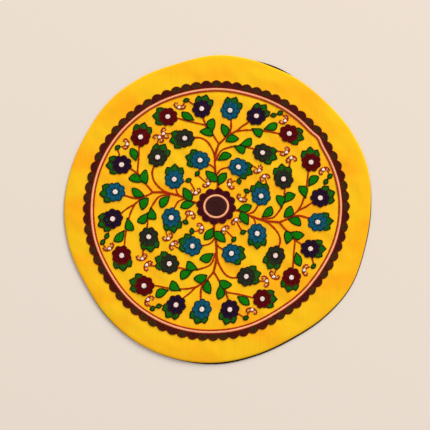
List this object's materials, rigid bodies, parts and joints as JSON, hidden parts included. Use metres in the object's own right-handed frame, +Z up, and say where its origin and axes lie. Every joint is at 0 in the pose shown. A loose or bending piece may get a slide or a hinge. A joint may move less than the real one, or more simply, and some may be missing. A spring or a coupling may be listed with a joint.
{
  "type": "cushion cover",
  "caption": "Empty round cotton cushion cover lying flat, with a raised thread pattern of flowering branches inside a scalloped ring.",
  "frame": {"origin": "on the surface under the middle of the cover's box", "axes": "+Z up through the two cloths, +X to the cover's right and +Y to its top, seen from above"},
  "size_m": [0.4016, 0.404, 0.005],
  "materials": {
    "front_panel": "matte",
    "back_panel": "matte"
  },
  "bodies": {
    "root": {"front_panel": "front_panel", "back_panel": "back_panel"}
  },
  "joints": []
}
